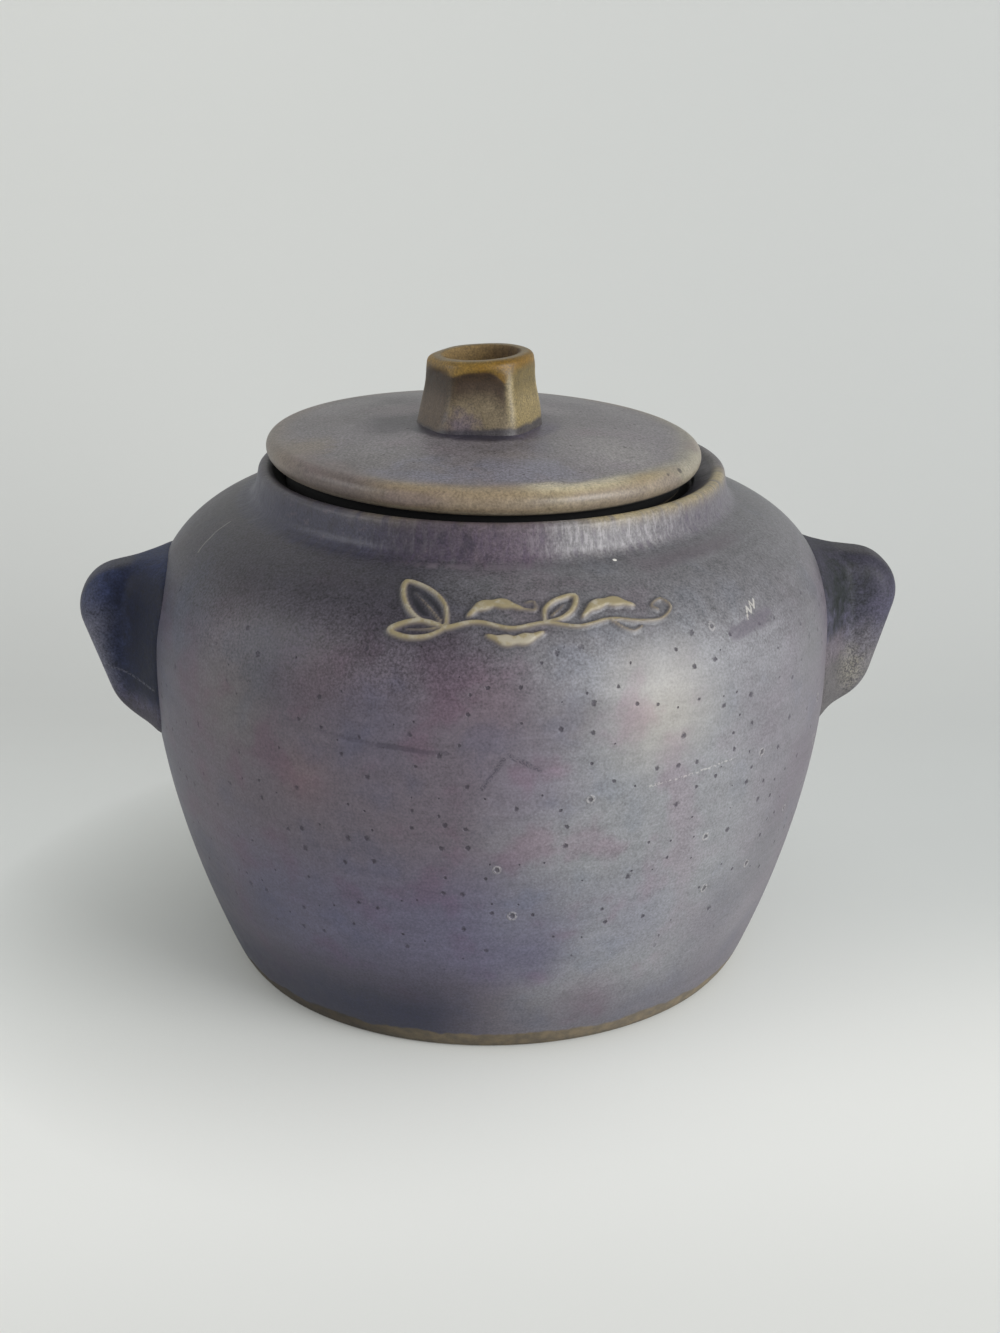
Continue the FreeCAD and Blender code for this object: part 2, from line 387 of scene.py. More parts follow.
glaze = {
    "plum": (100, 92, 102),
    "leftEdgeShade": (78, 76, 90),
    "lilac": (131, 132, 136),
    "shoulderPlum": (57, 54, 63),
    "shoulderLilac": (102, 101, 105),
    "blue": (92, 92, 118),
    "lowDark": (36, 38, 62),
    "lowMiddle": (92, 88, 98),
    "pinkish": (1.0, 0.84, 0.91, 1.0),
    "bluish": (0.86, 0.92, 1.0, 1.0),
    "patches": [  # place, reach, tone, strength
        # painted highlight: this first patch is a broad pale spot where the lamp's highlight falls on the
        # belly
        (onAxis(22, 94, 100), 22, (162, 158, 152), 0.8),
        (onAxis(-40, 93, 112), 22, (60, 57, 71), 0.75),
        (onAxis(-10, 80, 129), 11, (96, 88, 96), 0.6),
        (onAxis(8, 94, 100), 10, (104, 94, 100), 0.4),
        # painted shade: this patch and the next two darken the shoulder at its right and left edges
        (onAxis(60, 84, 122), 24, (82, 82, 86), 0.7),
        (onAxis(-84, 90, 117), 18, (58, 58, 70), 0.7),
        (onAxis(82, 90, 116), 18, (74, 74, 78), 0.7),
        (onAxis(18, 92, 113), 9, (114, 108, 105), 0.5),
        # painted shade: darker at the belly's right edge
        (onAxis(60, 93, 104), 18, (98, 98, 100), 0.5),
        (onAxis(39, 82, 33), 22, (106, 104, 112), 0.8),
        # painted shade: darker low on the right of the belly
        (onAxis(50, 85, 45), 20, (106, 106, 111), 0.6),
        (onAxis(26, 91, 112), 8, (112, 108, 106), 0.5),
        (onAxis(-66, 91, 116), 28, (70, 74, 92), 0.8),
        (onAxis(-49, 94, 96), 24, (108, 104, 106), 0.7),
        (onAxis(-31, 92, 110), 17, (88, 74, 84), 0.7),
        (onAxis(-34, 94, 82), 13, (115, 98, 104), 0.7),
        (onAxis(-22, 94, 97), 19, (91, 87, 103), 0.65),
        (onAxis(-4, 93, 107), 14, (108, 94, 103), 0.6),
        (onAxis(2, 95, 84), 20, (118, 112, 126), 0.55),
        (onAxis(20, 87, 42), 22, (120, 120, 134), 0.5),
        (onAxis(14, 80, 16), 14, (116, 102, 112), 0.6),
    ],
    "collarPlum": (63, 57, 70),
    "collarMiddle": (95, 84, 95),
    "collarLight": (116, 114, 116),
    "collarRight": (100, 97, 103),
    "collarStreak": (74, 62, 84),
    "collarLeft": (56, 57, 76),
    "collarBlot": (43, 40, 54),
    "collarPale": (104, 92, 98),
    "collarUnderShadow": (82, 70, 80),
    "collarRoot": (114, 105, 114),
    "feather": (170, 165, 171),
    "ochre": (160, 146, 110),
    "sprigTan": (150, 138, 106),
    "sprigPale": (182, 176, 162),
    "sprigFoot": (112, 103, 96),
    "ink": (28, 28, 36),
    "pit": (52, 46, 58),
    "crater": (66, 60, 68),
    "craterRim": (176, 172, 172),
    "crack": (52, 47, 62),
    "smear": (90, 83, 95),
    "scratch": (214, 210, 202),
    "paleFleck": (236, 233, 226),
    "darkFleck": (44, 42, 50),
    "seatShadow": (7, 7, 9),
    "lipInside": (100, 96, 106),
    "lipInsideDark": (76, 74, 84),
    "inside": (66, 59, 64),
    "insidePale": (80, 72, 74),
    "clay": (122, 109, 88),
    "clayDark": (94, 86, 74),
    "grog": (70, 60, 48),
    "footPaintedShade": (0.45, 0.45, 0.48, 1.0),
    "footPlain": (1.0, 1.0, 1.0, 1.0),
    "footPaintedLight": (1.2, 1.22, 1.26, 1.0),
    "marks": ("inside", "lip", "relief", "halo", "pooled"),
    "degree": 1.66,  # millimetres of wall for each degree, in the unrolled wall
    "zigzag": [(69.0, 116.6), (70.4, 118.9), (71.2, 117.2), (72.6, 119.6), (73.2, 118.2), (74.6, 119.8)],
}


def clayCoat(made, cloud, grain, level=glaze["footPlain"]):
    # bare stoneware: warmer, with dark grog in it; level, where given, lightens or darkens it as painted
    # light and shade
    grog = (glaze["grog"], grain.step(0.6, 0.75) * 0.5)
    return made.shade(made.layers(glaze["clayDark"], (glaze["clay"], cloud.step(0.3, 0.7)), grog), level)


def potFinish():
    made = Finish("potGlaze", glaze)
    z, turn, radius = made.z, made.turn(), made.radius()
    front = turn.size().step(176, 110)  # 0 at the back, where turn starts again
    across = turn * glaze["degree"]
    broad = made.cloud(42, 2.0)
    medium = made.cloud(15, 3.0, at=made.moved(70, 0, 0))
    small = made.cloud(3.4, 4.0, 0.6, at=made.moved(0, 50, 0))
    grain = made.cloud(0.62, 2.0, 0.6)
    inside, lip, relief, halo, pooled = [made.mark(name) for name in glaze["marks"]]

    wander = turn.torn(broad, 45)
    blue = z.torn(medium, 30).step(14, 34) * z.step(72, 44) * wander.window(-66, -34, -4, 22)
    shoulder = made.layers("shoulderPlum", ("shoulderLilac", wander.step(-26, 6) * turn.step(172, 110)))
    low = z.torn(medium, 9).step(38, 10) * wander.step(4, -30) * turn.step(-175, -125)
    low = low.most(z.torn(medium, 20).step(58, 28) * turn.window(-160, -90, -52, -34) * 0.4)
    patches = []
    for place, reach, tone, strength in glaze["patches"]:
        patches.append((tone, made.patch(place, reach, reach, medium, 0.4) * strength))
    colour = made.layers(
        "plum",
        ("lilac", wander.window(-14, 18, 26, 80)),
        # painted shade: the left side of the pot is darker
        ("leftEdgeShade", turn.window(-170, -110, -78, -52)),
        *patches,
        ("blue", blue * 0.65),
        (shoulder, z.torn(medium, 16).step(106, 129)),
        ("lowMiddle", z.torn(medium, 6).step(28, 7) * 0.75),
        ("lowDark", low * 0.95),
    )
    rosy = medium.step(0.5, 0.68) * (1 - turn.step(14, 40) * front * 0.85) * (1 - z.step(104, 124) * 0.5)
    colour = made.shade(colour, glaze["pinkish"], rosy)
    cool = medium.step(0.47, 0.3) * (0.8 - turn.step(0, 20) * front * 0.4)
    colour = made.shade(colour, glaze["bluish"], cool)
    thrown = made.cloud(2.4, 3.0, 0.55, at=made.vector(turn * 0.16, z, radius * 0.4))
    high = z.step(98, 122)
    # the grain is calmer under the painted highlight
    calm = 1 - made.patch(onAxis(23, 94, 101), 26, 20) * 0.5
    fine = (1.1 + high * (1.8 - turn.step(-20, 10) * front)) * calm
    level = 1 + grain.sway(fine) + small.sway(0.5 + high * 0.5) * calm + thrown.sway(0.36)
    colour = made.shade(colour, level)

    bearing = turn * 1.13
    streak = made.cloud(1.5, 4.0, 0.7, at=made.vector(bearing, z * 0.3, radius * 0.3), bend=0.3)
    ragged = made.cloud(2.6, 3.0, 0.6, at=made.vector(bearing, 0.0, 0.0))
    blot = made.cloud(4.5, 4.0, 0.7, at=made.vector(bearing, z, 0.0))
    collar = z.torn(ragged, 5).step(131.4, 133.4) * radius.step(71.0, 69.0)
    left = turn.window(-80, -60, -8, 8)
    tone = made.layers(
        "collarPlum",
        ("collarMiddle", turn.step(-26, 2)),
        ("collarLight", turn.step(4, 14)),
        ("collarRight", turn.step(30, 50)),
        ("collarStreak", streak.step(0.54, 0.34) * 0.4),
        ("collarLeft", turn.step(-22, -36) * 0.8),
    )
    tone = made.layers(
        "collarPlum",
        (tone, front),
        ("collarBlot", blot.step(0.5, 0.6) * left * 0.5),
        ("collarPale", blot.step(0.42, 0.34) * left * 0.3),
    )
    feather = turn.window(-2, 16, 30, 58) * 0.52 + turn.window(-46, -30, -18, -6) * 0.1
    feather = streak.step(0.46, 0.66) * feather * z.step(132.0, 134.5)
    tone = made.layers(made.shade(tone, 1 + grain.sway(1.6)), ("feather", feather))
    # painted shadow: a thin dark line under the collar on the right
    under = z.near(130.4, 1.6, 0.2) * turn.window(22, 34, 48, 66)
    root = radius.near(68.8, 1.8, 0.3) * z.step(130, 131) * turn.window(-26, -18, 0, 12)
    strong = turn.window(12, 26, 72, 86) + turn.window(-42, -34, -26, -18) * 0.2 + 0.1
    ochre = made.shade("ochre", 1 + grain.sway(1.2) + blot.sway(1.2))
    # pooled glaze inside the leaves, and a dark ring round the foot of the strokes that is partly pooled
    # glaze and partly painted shade
    ink = (halo.step(0.35, 0.95) * small.step(0.35, 0.6) * 0.5).most(pooled * 0.95) * (1 - relief)
    colour = made.layers(
        colour,
        (tone, collar),
        ("collarUnderShadow", under * 0.45),
        ("collarRoot", root * blot.step(0.35, 0.55) * 0.6),
        (ochre, lip * strong.least(1.0) * ragged.step(0.25, 0.55)),
        ("ink", ink),
        ("sprigFoot", relief.step(0.05, 0.6) * 0.9),
        (made.layers("sprigTan", ("sprigPale", small.step(0.46, 0.62) * 0.6)), relief.step(0.4, 1.0) * 0.95),
    )

    wall = made.vector(across, z, 0.0)
    plain = z.window(24, 40, 116, 124) * (1 - halo.step(0.0, 0.1))
    busy = turn.window(-60, -25, 40, 66) * 0.6 + 0.4
    hole, chosen = made.pits(wall, 6.2, 0.5, 0.22, 0.85)
    hole = hole.torn(grain, 1.2).step(1.2, 0.4) * chosen * plain * busy
    ring, picked = made.pits(wall, 19.0, 0.34, 0.9, 1.6)
    ring = ring.torn(grain, 0.5)
    picked = picked * plain * turn.step(-30, -5)
    crater = ring.step(0.65, 0.3) * picked
    rim = ring.near(0.9, 0.4, 0.1) * picked
    up = z.torn(small, 1.4)
    crack = made.drawn(across, up, [
        ((-62, 97.2), (-40, 94.4), 0.7, 0.5, small, 0.42, 0.56),
        ((-43, 94.6), (-18, 92.9), 0.8, 0.55),
        ((-35, 94.0), (-23, 93.1), 1.0, 0.8),
        ((-9.6, 84.0), (-4.4, 91.4), 0.9, 1.0, grain, 0.46, 0.54),
        ((-3.0, 92.6), (4.4, 88.4), 1.0, 1.0, grain, 0.48, 0.54),
    ])
    zigzag = zip(glaze["zigzag"], glaze["zigzag"][1:])
    scratch = made.drawn(across, up, [
        ((33, 81.0), (60, 82.6), 0.4, 0.6, grain, 0.5, 0.58),
        ((-126, 131), (-120, 125), 0.4, 0.35),
        *[(start, end, 0.45, 1.0, grain, 0.3, 0.45) for start, end in zigzag],
    ])
    smear = made.line(across, z.torn(small, 3), (62, 114.6), (78, 115.8), 2.6) * small.step(0.25, 0.5)

    mottled = small.step(0.3, 0.7)
    # painted shadow: the inner slope and ledge under the lid are painted near black, starting further out on
    # the left
    limit = 61 - (turn.step(-40, 20) * 5.6 - turn.step(-38, -60) * 3) * front
    seatShadow = inside * z.step(126, 131) * (radius - limit).step(0.6, -0.8)
    footLine = made.cloud(16, 3.0, 0.6, at=made.vector(turn * 1.3, 0.0, 0.0))
    bare = z.torn(small, 1.2).torn(footLine, 6).step(5.9, 5.0) * (1 - inside)
    # painted light and shade: the bare foot is dimmed on the left and lit up on the right
    footLightAndShade = made.layers(
        "footPaintedShade",
        ("footPlain", turn.step(-38, -12).most(turn.step(-100, -150))),
        ("footPaintedLight", turn.window(0, 24, 100, 160)),
    )
    colour = made.layers(
        colour,
        ("pit", hole * 0.75),
        ("crater", crater * 0.65),
        ("craterRim", rim * grain.step(0.35, 0.55) * 0.5),
        ("crack", crack * 0.55),
        ("smear", smear * 0.6),
        ("scratch", scratch * 0.55),
        ("paleFleck", made.patch(onAxis(22.3, 69.2, 132.0), 0.75, 0.2)),
        ("darkFleck", made.patch(onAxis(59.4, 72.4, 131.2), 0.8, 0.3) * 0.8),
        (made.layers("inside", ("insidePale", mottled)), inside),
        (made.layers("lipInside", ("lipInsideDark", mottled)), inside * z.step(135.5, 138.0)),
        ("seatShadow", seatShadow),
        (clayCoat(made, small, grain, footLightAndShade), bare),
    )
    height = grain * 0.012 + small * 0.05 + medium * 0.12 + collar * streak * 0.12
    height = height + rim * 0.12 - hole * 0.22 - crater * 0.25 - crack * 0.1
    rough = 0.44 + small.sway(0.2) + hole.most(crack) * 0.25 + bare * 0.35 + seatShadow * 0.6
    return made.glazed(colour, rough, height, 0.5)


lugTones = {
    "navy": (46, 54, 84),
    "navyCreaseShade": (12, 18, 40),
    "outer": (104, 104, 118),
    "violet": (98, 92, 112),
    "leftLowShade": (52, 48, 54),
    "paleLine": (140, 138, 148),
    "rightCreaseShade": (36, 40, 40),
    "slate": (72, 70, 86),
    "rightTop": (44, 43, 52),
    "greyLow": (102, 99, 102),
    "greyRoot": (86, 83, 84),
    "tan": (134, 131, 118),
    "rose": (100, 92, 99),
    "edge": (78, 76, 78),
    "back": (84, 78, 92),
}


def lugFinish():
    made = Finish("lugGlaze", lugTones)
    z, radius = made.z, made.radius()
    medium = made.cloud(12, 3.0, at=made.moved(20, 0, 0))
    small = made.cloud(3.0, 4.0, 0.6)
    grain = made.cloud(0.62, 2.0, 0.6)
    left = made.layers(
        "navy",
        ("outer", radius.torn(medium, 8).step(102, 110) * z.step(112, 96)),
        ("violet", z.torn(medium, 16).step(90, 76) * 0.7),
        # painted shade: deep navy in the crease at the left lug's root
        ("navyCreaseShade", radius.torn(small, 9).step(109, 98) * z.window(76, 84, 112, 119) * 0.95),
        # painted shade: the low part of the left lug is darker
        ("leftLowShade", z.torn(small, 8).step(82, 76) * 0.7),
        ("paleLine", made.line(radius, z, (96, 85.2), (110, 88.6), 0.5) * grain.step(0.4, 0.55) * 0.2),
    )
    right = made.layers(
        "greyLow",
        ("slate", z.torn(medium, 16).step(84, 98)),
        ("rightTop", z.torn(small, 5).step(101, 111) * 0.7),
        # painted shade: dark in the hollow where the right lug meets the body
        ("rightCreaseShade", made.patch((97, -14, 104), 17, 17, small, 0.8) * z.step(84, 94)),
        # painted highlight: a pale patch low on the right lug beside its root
        ("tan", made.patch((100, -9, 81), 10, 9, small) * grain.step(0.35, 0.6) * 0.9),
        ("greyRoot", radius.torn(small, 6).step(107, 98) * z.step(92, 84) * 0.8),
        ("rose", radius.step(103, 98) * z.torn(small, 6).near(90, 6, 2) * 0.6),
    )
    facing = made.part(made.node("ShaderNodeTexCoord", {}, {}, "Normal"), "Y").size()
    colour = made.layers(
        left,
        (right, made.x.step(-1, 1)),
        ("edge", facing.step(0.5, 0.15) * 0.5 * radius.step(97, 100)),
        ("back", made.y.torn(small, 5).step(6, 15) * 0.8),
    )
    colour = made.shade(colour, 1 + grain.sway(2.2) + small.sway(1.0))
    height = grain * 0.03 + small * 0.1 + medium * 0.25
    return made.glazed(colour, 0.58 + small.sway(0.22), height, 0.28)


lidTones = {
    "axis": -1.3,
    "mauve": (116, 111, 115),
    "mauvePale": (122, 117, 121),
    "lilac": (117, 116, 128),
    "rose": (122, 108, 116),
    "patches": [  # place, reach, soft, whether its edge is finely broken, how far, tone, strength
        ((-34, -30, 153), 15, 13, False, 0.6, (118, 114, 115), 1.0),
        ((-46, 8, 152), 20, 18, False, 0.6, (104, 99, 101), 0.7),
        ((-26, -2, 154), 16, 14, False, 0.3, (82, 77, 84), 1.0),
        ((9, -24, 154), 12, 11, False, 0.4, (104, 101, 110), 0.8),
        ((-41, -37, 151), 9, 8, True, 0.4, (104, 98, 99), 0.8),
        ((-50, -18, 151), 12, 10, True, 0.6, (124, 113, 102), 0.8),
        ((-22, 32, 153), 15, 13, False, 0.6, (98, 93, 97), 0.7),
        ((26, 24, 154), 13, 11, False, 0.6, (106, 101, 106), 0.7),
        ((-26, -47, 152), 9, 8, False, 0.6, (100, 96, 103), 0.7),
        ((32, -26, 152), 20, 18, False, 0.6, (140, 136, 136), 0.85),
    ],
    "pool": (84, 79, 87),
    "knobShadowLeft": (50, 48, 60),
    "footRight": (92, 86, 102),
    "edge": (132, 118, 104),
    "edgeLight": (150, 144, 126),
    "edgeLeft": (106, 95, 90),
    "edgeFar": (122, 112, 102),
    "edgeRose": (124, 108, 108),
    "edgeLow": (112, 101, 90),
    "gold": (160, 140, 98),
    "edgeHighlight": (212, 202, 172),
    "lowLine": (176, 166, 148),
    "low": 142.4,  # height of the lower edge
    "chip": (52, 46, 46),
    "pit": (56, 50, 54),
    "under": (8, 8, 9),
}


def lidFinish():
    made = Finish("lidGlaze", lidTones)
    z, turn, radius = made.z, made.turn(lidTones["axis"]), made.radius(lidTones["axis"])
    broad = made.cloud(30, 2.0, at=made.moved(0, 30, 0))
    medium = made.cloud(11, 3.0)
    small = made.cloud(2.6, 4.0, 0.6)
    grain = made.cloud(0.62, 2.0, 0.6)
    drift = made.cloud(7, 3.0, 0.5, at=made.vector(turn * 0.3, radius, z))
    patches = []
    for place, reach, soft, fine, ragged, tone, strength in lidTones["patches"]:
        patches.append((tone, made.patch(place, reach, soft, small if fine else medium, ragged) * strength))
    front = turn.window(-58, -24, 12, 40) * radius.window(32, 42, 51, 57)
    # painted shadow round the knob's foot, darkest on its left, with lilac pooled glaze on its right
    foot = made.radius(knobTones["axis"]).torn(small, 3).step(23.0, 20.0)
    footPoolAndShade = made.layers("knobShadowLeft", ("footRight", turn.step(6, 34)))
    edgeTone = made.layers(
        "edge",
        ("edgeLight", turn.window(-4, 30, 90, 130)),
        ("edgeFar", turn.step(-60, -78)),
        ("edgeLeft", turn.window(-76, -52, -34, -14)),
        ("edgeRose", drift.step(0.5, 0.66) * 0.5),
    )
    edge = radius.torn(drift, 9).step(50.0, 60.6)
    gold = turn.window(-42, -24, 40, 60) * (0.42 + turn.step(-4, 18) * 0.2)
    # painted highlight: a bright cream streak on the front right of the lid's rounded edge
    edgeHighlight = z.torn(drift, 2).near(149.8, 3.4, 0.4) * turn.window(2, 16, 30, 42) * edge.step(0.1, 0.5)
    lowLine = (z - lidTones["low"] + made.x * 0.028 - made.y * 0.014).step(1.8, 0.9) * radius.step(57, 58.4)
    chip = made.patch((47.6, -33.0, 146.4), 1.1, 0.5).most(made.patch((43.4, -37.6, 146.2), 0.8, 0.4))
    colour = made.layers(
        "mauve",
        ("mauvePale", broad.step(0.4, 0.62)),
        ("rose", broad.step(0.52, 0.7) * 0.5),
        ("lilac", front * medium.step(0.35, 0.55) * 0.85),
        *patches,
        ("pool", radius.torn(medium, 7).step(24, 17.5) * 0.7),
        (footPoolAndShade, foot * turn.window(-84, -60, 70, 100) * 0.85),
        (edgeTone, edge * 0.95),
        ("gold", radius.torn(drift, 5).near(57.6, 4.2, 0.2) * gold),
        ("edgeHighlight", edgeHighlight),
        ("edgeLow", z.torn(drift, 2).step(147.5, 144.5) * edge * 0.3),
        ("lowLine", lowLine * 0.35),
        ("chip", chip * 0.8),
    )
    colour = made.shade(colour, 1 + grain.sway(2.2 - edge) + small.sway(0.8) + medium.sway(0.4))
    hole, chosen = made.pits(made.vector(made.x, made.y, 0.0), 7.0, 0.3, 0.25, 0.6)
    hole = hole.step(1.1, 0.5) * chosen * radius.step(52, 48)
    # painted shade: the lid's underside and the outside of its ring are painted near black, as they sit in
    # the shadowed gap
    below = z.step(142.4, 141.4).most(radius.step(57.2, 56.0) * z.step(147.4, 146.8))
    bare = z.torn(small, 0.8).step(137.3, 136.7)
    colour = made.layers(colour, ("pit", hole * 0.7), ("under", below), (clayCoat(made, small, grain), bare))
    height = grain * 0.02 + small * 0.06 + medium * 0.16 - hole * 0.2 + edge * drift * 0.2
    return made.glazed(colour, 0.42 + small.sway(0.2) + bare * 0.35 + below * 0.5, height, 0.5)


knobTones = {
    "axis": -2.1,
    "low": 153.3,  # height of the lid's top, from which the bands are measured
    "slope": 0.03,
    "turn": -6,  # degrees, where the flats are
    "facet": (113, 101, 80),
    "rightFacet": (128, 113, 76),
    "leftFacet": (94, 80, 67),
    "upper": (60, 46, 34),
    "violet": (96, 86, 98),
    "rightTop": (96, 82, 46),
    "ochre": (124, 92, 24),
    "olive": (114, 96, 50),
    "ochreLeft": (136, 108, 52),
    "ochreRight": (108, 80, 16),
    "arch": (50, 34, 14),
    "ridge": (148, 134, 98),
    "rim": (122, 104, 70),
    "pool": (52, 50, 58),
    "bowl": (128, 106, 68),
    "bowlShade": (84, 66, 44),
    "fleck": (220, 214, 200),
}


def knobFinish():
    made = Finish("knobGlaze", knobTones)
    turn, radius = made.turn(knobTones["axis"]), made.radius(knobTones["axis"])
    medium = made.cloud(7, 3.0)
    small = made.cloud(2.0, 4.0, 0.6)
    grain = made.cloud(0.5, 2.0, 0.6)
    up = made.z - knobTones["low"] - (made.x - knobTones["axis"]) * knobTones["slope"]
    level = up.torn(medium, 1.2)
    bearing = turn - knobTones["turn"] - turn.step(0, 24) * 2.5
    facing = made.node("ShaderNodeMath", {"operation": "COSINE"}, {0: bearing * (6 * math.pi / 180)})
    front = turn.window(-44, -34, 20, 27)
    top = 15.6 - (0.5 - facing * 0.5) ** 3.0 * (1.0 + front * turn.step(-20, 0) * 3.6)  # arch over each flat
    golden = made.layers(
        "ochre",
        ("olive", medium.step(0.4, 0.6) * 0.6),
        ("ochreLeft", turn.step(-6, -40) * 0.7),
        ("ochreRight", turn.step(4, 16) * 0.8),
    )
    # pale glaze on the ridges, with a painted highlight that is far stronger on the right ridges
    ridge = facing.step(-0.74, -0.98) * up.window(1.0, 4.0, 12, 16) * (turn.step(0, 10) * 0.5 + 0.06)
    bowl = radius.step(11.4, 10.4) * up.step(2.0, 3.0)
    # painted shade: the cup darkens deeper down and towards its right side
    cupShade = (made.x * 0.05 + 0.8 - up * 0.03 + medium.sway(1.0)).step(0.1, 0.8)
    colour = made.layers(
        "facet",
        ("rightFacet", turn.window(16, 34, 90, 120)),
        ("leftFacet", turn.window(-130, -100, -48, -30)),
        # partly pooled glaze and partly painted shade under the ring's overhang: upper darkens the top of
        # each flat, and arch below is a dark line just under the ring
        ("upper", (level - top).step(-9.5, -3.0) * turn.step(26, 16)),
        ("violet", made.patch((-9.0, -16, 155), 7, 6, small) * 0.8),
        ("rightTop", level.step(6, 12) * turn.window(24, 32, 90, 120) * 0.75),
        (golden, ((level - top) / (2.8 - front * 1.8)).step(-0.3, 0.9)),
        ("arch", (level - top).near(-0.9, 2.2, 0.2) * front * 0.7),
        ("ridge", ridge),
        ("ochre", up.torn(small, 1.5).near(17.4, 1.4, 0.2) * turn.step(-40, 0) * 0.6),
        ("rim", radius.step(13.4, 12.4) * up.step(16, 18)),
        ("pool", up.torn(medium, 1.6).step(1.6, 0.2) * 0.9),
        (made.layers("bowl", ("bowlShade", cupShade)), bowl),
    )
    colour = made.shade(colour, 1 + grain.sway(1.6) + small.sway(0.9))
    colour = made.layers(colour, ("fleck", made.patch((-13.4, -13.0, 163.6), 0.6, 0.2) * 0.9))
    height = grain * 0.02 + small * 0.07 + medium * 0.2
    return made.glazed(colour, 0.48 + small.sway(0.2) + bowl * 0.35, height, 0.5)


potGlaze = potFinish()
lugGlaze = lugFinish()
lidGlaze = lidFinish()
knobGlaze = knobFinish()
print("glazes ready")


# Pot

pot = {
    "footRadius": 72.3,
    "footRingWidth": 12.0,
    "footRecess": 1.5,
    "footBevel": 2.6,
    "footBevelRun": 2.0,
    "footAngle": 60.0,
    "footRounds": (0.6, 0.5, 0.5, 0.8),  # from the recess out to the wall
    "bellyRadius": 95.0,
    "bellyHeight": 87.0,
    "neckRadius": 68.4,
    "neckHeight": 132.5,
    "shoulderAngle": 16.6,
    "footPull": 6.6,
    "bellyPullDown": 35.0,
    "bellyPullUp": 15.3,
    "shoulderPull": 29.3,
    "lipHeight": 141.8,
    "collarLean": 10.5,
    "collarRootRun": 3.0,
    "collarRootRound": 4.0,
    "lipWidth": 2.4,
    "lipRound": 1.5,
    "lipInnerRound": 1.0,
    "ledgeDepth": 5.8,
    "riserRadius": 56.1,
    "riserHeight": 2.0,
    "seatRound": 1.0,
    "ledgeRound": 0.9,
    "throatRadius": 50.5,
    "throatRound": 1.6,
    "wall": 6.0,
    "floor": 8.0,
    "floorRound": 12.0,
    "footEnd": 12,  # point of the lower curve where the foot's rounding ends
    "floorEnd": 40,  # and where the floor's does
    "footGap": 2.2,  # between rows, here and below
    "wallGap": 2.0,
    "bellyGap": 1.6,
    "rowGap": 0.48,  # round the shoulder
    "closeFrom": 117.0,  # height where the close rows start
    "insideGap": 3.5,
    "insideLowGap": 4.0,
    "floorGap": 3.0,
    "frontSpread": 29.0,  # degrees each side of the front with close columns
    "frontGap": 0.43,  # degrees between them
    "backGap": 1.7,
    "curvePoints": 200,
    "ripple": 0.16,  # how far the hand-smoothed wall dips
    "rippleLow": (3.0, 14.0),  # heights over which the ripple comes in
    "rippleHigh": (122.0, 134.0),  # and goes out again
    "rippleFrom": (66.0, 72.0),  # radii over which it comes in
    "waves": [(2, 21, 0.7, 1.0), (5, -13, 2.1, 0.6), (3, 8.5, 4.0, 0.5), (9, 17, 0.0, 0.35)],
    "waveSpan": 4.9,  # from the lowest to the highest sum of the waves
    "settleHigh": (88.0, 133.0),  # heights and radii over which the rim leaves its true place
    "settleFrom": (54.0, 61.0),
    "rimShift": 0.8,  # the mouth sits a little to the right
    "rimNod": 0.45,  # degrees, front lower
    "rimTilt": 0.5,  # degrees, right side lower
    "lipReach": 2.3,  # how far the lip's worn glaze spreads
    "lipInside": (1.4, 2.4),  # in from the top of the lip, where the inside's glaze starts
    "lipRows": 30,  # rows from the top of the lip to where only that glaze is left
}


def wallCurves(inset):
    foot = np.array([pot["footRadius"] + pot["footBevelRun"], pot["footBevel"]])
    foot = foot - polar(pot["footAngle"] - 90) * inset
    belly = np.array([pot["bellyRadius"] - inset, pot["bellyHeight"]])
    neck = np.array([pot["neckRadius"], pot["neckHeight"]]) - polar(90 - pot["shoulderAngle"]) * inset
    lower = [foot, foot + polar(pot["footAngle"]) * pot["footPull"], belly - [0, pot["bellyPullDown"]], belly]
    shoulder = neck + polar(-pot["shoulderAngle"]) * pot["shoulderPull"]
    upper = [belly, belly + [0, pot["bellyPullUp"]], shoulder, neck]
    return bezier(lower, pot["curvePoints"]), bezier(upper, pot["curvePoints"])


